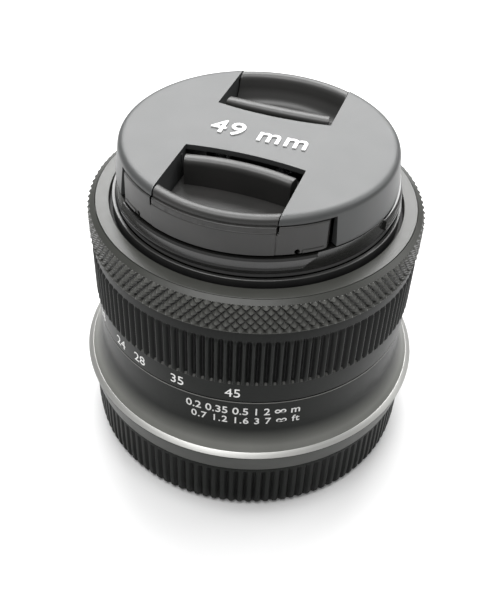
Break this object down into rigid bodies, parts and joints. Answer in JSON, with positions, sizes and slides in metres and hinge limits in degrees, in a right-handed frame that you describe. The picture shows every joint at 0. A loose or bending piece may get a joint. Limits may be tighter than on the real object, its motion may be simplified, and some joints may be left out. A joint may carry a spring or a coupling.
{
  "type": "retractable zoom camera lens",
  "caption": "Compact retractable zoom lens: bayonet mount, flared barrel with silver ring, ribbed zoom ring, knurled control ring, pinch front cap and ribbed rear cap.",
  "frame": {"origin": "centre of the rear cap's outer face, where the lens stands", "axes": "+Z along the optical axis towards the front cap; -Y towards the side that carries the scales seen from the front"},
  "size_m": [0.069, 0.069, 0.0658],
  "materials": {
    "cap_black": "fine moulded satin",
    "cap_plastic": "fine grained satin",
    "black_plastic": "satin",
    "barrel_plastic": "smooth satin with a metallic fleck",
    "ring_plastic": "satin",
    "silver_trim": "satin silver",
    "mount_plastic": "satin grey",
    "steel": "plain",
    "spring_steel": "drawn wire",
    "motor_steel": "drawn can",
    "gold_contact": "gold plated",
    "copper": "enamelled copper winding",
    "circuit_board": "solder mask",
    "cam_alloy": "black anodised",
    "blade_black": "dry matt coating",
    "optical_glass": "coated and polished"
  },
  "bodies": {
    "barrel": {"bayonet_mount": "mount_plastic", "mount_screws": "steel", "contact_block": "black_plastic", "contact_pins": "gold_contact", "rear_baffle": "black_plastic", "rear_lens_cell": "black_plastic", "rear_element": "optical_glass", "main_board": "circuit_board", "fixed_barrel": "barrel_plastic", "barrel_screws": "steel", "silver_ring": "silver_trim", "guide_barrel": "black_plastic", "ring_holder": "black_plastic", "ring_sensor": "circuit_board", "front_trim_ring": "barrel_plastic"},
    "zoom": {"zoom_ring": "ring_plastic", "cam_barrel": "cam_alloy", "drive_keys": "steel"},
    "control": {"control_ring": "ring_plastic"},
    "front": {"front_barrel": "black_plastic", "front_followers": "steel", "filter_ring": "black_plastic", "front_bezel": "black_plastic", "front_group_cell": "black_plastic", "front_element": "optical_glass", "second_element": "optical_glass", "third_element": "optical_glass"},
    "carriage": {"carriage_frame": "black_plastic", "carriage_followers": "steel", "carriage_lens_cell": "black_plastic", "fourth_element": "optical_glass", "stabiliser_base": "black_plastic", "stabiliser_cover": "black_plastic", "stabiliser_coils": "copper", "iris_base": "black_plastic", "iris_cover": "black_plastic", "iris_motor": "motor_steel", "focus_motor": "motor_steel", "focus_rods": "steel"},
    "iris_drive": {"iris_ring": "black_plastic"},
    "lever": {"iris_lever": "steel"},
    "stabiliser_x": {"stabiliser_x_frame": "black_plastic"},
    "stabiliser_lens": {"stabiliser_lens_frame": "black_plastic", "stabiliser_element": "optical_glass"},
    "focus": {"focus_frame": "black_plastic", "focus_element": "optical_glass"},
    "screw": {"focus_screw": "steel"},
    "front_cap": {"cap_cover": "cap_plastic", "cap_back_plate": "black_plastic", "cap_springs": "spring_steel"},
    "latch_front": {"cap_latch_front": "cap_plastic"},
    "latch_back": {"cap_latch_back": "cap_plastic"},
    "rear_cap_body": {"rear_cap": "cap_black"},
    "blade_1": {"iris_blade_1": "blade_black"},
    "blade_2": {"iris_blade_2": "blade_black"},
    "blade_3": {"iris_blade_3": "blade_black"},
    "blade_4": {"iris_blade_4": "blade_black"},
    "blade_5": {"iris_blade_5": "blade_black"},
    "blade_6": {"iris_blade_6": "blade_black"},
    "blade_7": {"iris_blade_7": "blade_black"}
  },
  "joints": [
    {"name": "zoom_turn", "type": "hinge", "parent": "barrel", "child": "zoom", "pos_m": [0, 0, 0.0375], "axis": [0, 0, -1], "range_deg": [0, 100]},
    {"name": "front_extend", "type": "slide", "parent": "barrel", "child": "front", "axis": [0, 0, 1], "range_m": [0, 0.018]},
    {"name": "carriage_travel", "type": "slide", "parent": "barrel", "child": "carriage", "axis": [0, 0, 1], "range_m": [0, 0.01]},
    {"name": "control_turn", "type": "hinge", "parent": "barrel", "child": "control", "pos_m": [0, 0, 0.0497], "axis": [0, 0, 1], "continuous": true},
    {"name": "iris_turn", "type": "hinge", "parent": "carriage", "child": "iris_drive", "pos_m": [0, 0, 0.0366], "axis": [0, 0, 1], "range_deg": [0, 5.6]},
    {"name": "lever_swing", "type": "hinge", "parent": "carriage", "child": "lever", "pos_m": [-0.0186, 0, 0.0353], "axis": [0, 0, 1], "range_deg": [-48.5, 0]},
    {"name": "blade_1_swing", "type": "hinge", "parent": "carriage", "child": "blade_1", "pos_m": [0.0112, 0, 0.035], "axis": [0, 0, 1], "range_deg": [0, 25]},
    {"name": "blade_2_swing", "type": "hinge", "parent": "carriage", "child": "blade_2", "pos_m": [0.00698, 0.00876, 0.035], "axis": [0, 0, 1], "range_deg": [0, 25]},
    {"name": "blade_3_swing", "type": "hinge", "parent": "carriage", "child": "blade_3", "pos_m": [-0.00249, 0.01092, 0.035], "axis": [0, 0, 1], "range_deg": [0, 25]},
    {"name": "blade_4_swing", "type": "hinge", "parent": "carriage", "child": "blade_4", "pos_m": [-0.01009, 0.00486, 0.035], "axis": [0, 0, 1], "range_deg": [0, 25]},
    {"name": "blade_5_swing", "type": "hinge", "parent": "carriage", "child": "blade_5", "pos_m": [-0.01009, -0.00486, 0.035], "axis": [0, 0, 1], "range_deg": [0, 25]},
    {"name": "blade_6_swing", "type": "hinge", "parent": "carriage", "child": "blade_6", "pos_m": [-0.00249, -0.01092, 0.035], "axis": [0, 0, 1], "range_deg": [0, 25]},
    {"name": "blade_7_swing", "type": "hinge", "parent": "carriage", "child": "blade_7", "pos_m": [0.00698, -0.00876, 0.035], "axis": [0, 0, 1], "range_deg": [0, 25]},
    {"name": "stabiliser_shift_x", "type": "slide", "parent": "carriage", "child": "stabiliser_x", "axis": [1, 0, 0], "range_m": [-0.0008, 0.0008], "stiffness_N_per_m": 60},
    {"name": "stabiliser_shift_y", "type": "slide", "parent": "stabiliser_x", "child": "stabiliser_lens", "axis": [0, 1, 0], "range_m": [-0.0008, 0.0008], "stiffness_N_per_m": 60},
    {"name": "focus_travel", "type": "slide", "parent": "carriage", "child": "focus", "axis": [0, 0, 1], "range_m": [0, 0.004]},
    {"name": "focus_screw_spin", "type": "hinge", "parent": "carriage", "child": "screw", "pos_m": [0, 0.0186, 0.02], "axis": [0, 0, 1], "range_deg": [0, 1440]},
    {"name": "front_cap_lift", "type": "slide", "parent": "front", "child": "front_cap", "axis": [0, 0, 1], "range_m": [0, 0.03]},
    {"name": "latch_front_press", "type": "slide", "parent": "front_cap", "child": "latch_front", "axis": [0.2974, 0.9548, 0], "range_m": [0, 0.0018], "stiffness_N_per_m": 800, "springref_m": -0.0012, "deforming": ["cap_springs"]},
    {"name": "latch_back_press", "type": "slide", "parent": "front_cap", "child": "latch_back", "axis": [-0.2974, -0.9548, 0], "range_m": [0, 0.0018], "stiffness_N_per_m": 800, "springref_m": -0.0012, "deforming": ["cap_springs"]},
    {"name": "rear_cap_twist", "type": "hinge", "parent": "barrel", "child": "rear_cap_body", "pos_m": [0, 0, 0.006], "axis": [0, 0, 1], "range_deg": [0, 60]}
  ],
  "couplings": [
    {"joint": "front_extend", "follows": "zoom_turn", "m_per_rad": 0.010313},
    {"joint": "carriage_travel", "follows": "zoom_turn", "m_per_rad": 0.0057296},
    {"joint": "lever_swing", "follows": "iris_turn", "ratio": -8.6607},
    {"joint": "focus_screw_spin", "follows": "focus_travel", "rad_per_m": 6283.2},
    {"joint": "blade_1_swing", "follows": "iris_turn", "ratio": 4.4643},
    {"joint": "blade_2_swing", "follows": "iris_turn", "ratio": 4.4643},
    {"joint": "blade_3_swing", "follows": "iris_turn", "ratio": 4.4643},
    {"joint": "blade_4_swing", "follows": "iris_turn", "ratio": 4.4643},
    {"joint": "blade_5_swing", "follows": "iris_turn", "ratio": 4.4643},
    {"joint": "blade_6_swing", "follows": "iris_turn", "ratio": 4.4643},
    {"joint": "blade_7_swing", "follows": "iris_turn", "ratio": 4.4643}
  ]
}
